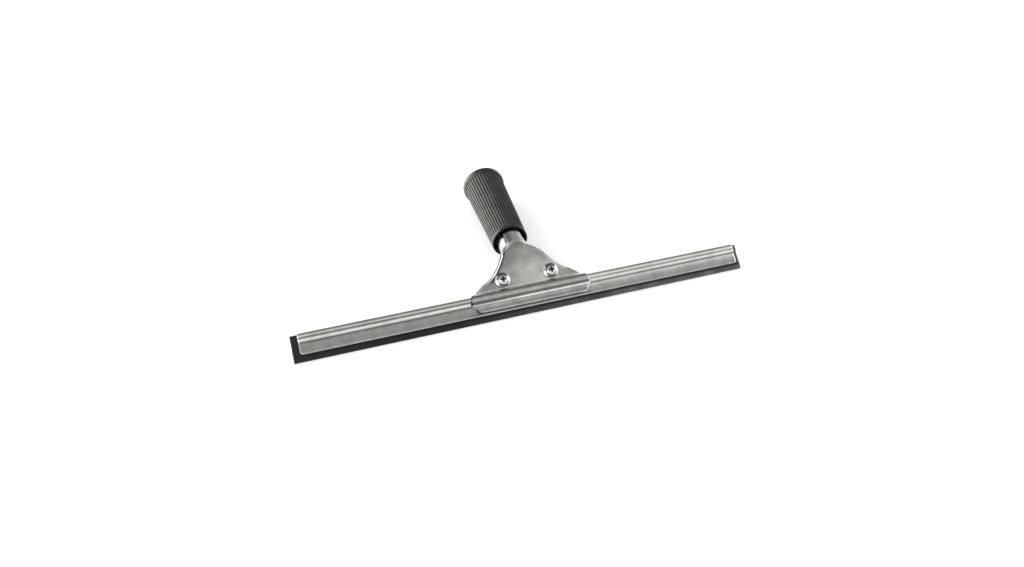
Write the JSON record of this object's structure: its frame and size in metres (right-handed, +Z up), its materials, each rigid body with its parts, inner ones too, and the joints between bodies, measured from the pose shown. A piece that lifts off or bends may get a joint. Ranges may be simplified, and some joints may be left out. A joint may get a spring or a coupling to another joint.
{
  "type": "window squeegee",
  "caption": "Hand squeegee for windows: rubber blade in a rolled steel channel, clamped by screws in a two-plate steel handle with a ribbed rubber grip and an open pole socket.",
  "frame": {"origin": "middle of the footprint on the table that the squeegee lies on, screws up, under the handle's middle plane", "axes": "+X along the blade, +Y along the handle away from the blade, +Z up from the table"},
  "size_m": [0.3585, 0.1518, 0.0374],
  "materials": {
    "blade_rubber": "smooth moulded black rubber",
    "channel_steel": "bright rolled stainless sheet",
    "plate_steel": "tumbled stainless stamping with fine handling marks",
    "grip_rubber": "matt moulded ribbed rubber",
    "screw_steel": "bright polished steel"
  },
  "bodies": {
    "handle": {"back_plate": "plate_steel", "grip": "grip_rubber", "left_nut": "screw_steel", "right_nut": "screw_steel"},
    "jaw": {"front_plate": "plate_steel"},
    "channel": {"channel": "channel_steel"},
    "rubber": {"rubber_blade": "blade_rubber"},
    "left_washer": {"left_washer": "screw_steel"},
    "right_washer": {"right_washer": "screw_steel"},
    "left_screw": {"left_screw": "screw_steel"},
    "right_screw": {"right_screw": "screw_steel"}
  },
  "joints": [
    {"name": "left_screw_lift", "type": "slide", "parent": "handle", "child": "left_washer", "axis": [0, -0.5878, 0.809], "range_m": [0, 0.0024]},
    {"name": "left_screw_turn", "type": "hinge", "parent": "left_washer", "child": "left_screw", "pos_m": [-0.0195, -0.05159, 0.01801], "axis": [0, -0.5878, 0.809], "range_deg": [0, 1080]},
    {"name": "right_screw_lift", "type": "slide", "parent": "handle", "child": "right_washer", "axis": [0, -0.5878, 0.809], "range_m": [0, 0.0024]},
    {"name": "right_screw_turn", "type": "hinge", "parent": "right_washer", "child": "right_screw", "pos_m": [0.0195, -0.05159, 0.01801], "axis": [0, -0.5878, 0.809], "range_deg": [0, 1080]},
    {"name": "jaw_open", "type": "hinge", "parent": "handle", "child": "jaw", "pos_m": [0, 0.0035, 0.0306], "axis": [-1, 0, 0], "range_deg": [0, 2]},
    {"name": "channel_slide", "type": "slide", "parent": "handle", "child": "channel", "axis": [1, 0, 0], "range_m": [-0.21, 0.21]},
    {"name": "rubber_slide", "type": "slide", "parent": "channel", "child": "rubber", "axis": [1, 0, 0], "range_m": [-0.34, 0.34]}
  ],
  "couplings": [
    {"joint": "left_screw_turn", "follows": "left_screw_lift", "rad_per_m": 7854},
    {"joint": "right_screw_lift", "follows": "left_screw_lift", "ratio": 1},
    {"joint": "right_screw_turn", "follows": "left_screw_lift", "rad_per_m": 7854},
    {"joint": "jaw_open", "follows": "left_screw_lift", "rad_per_m": 14.544}
  ]
}
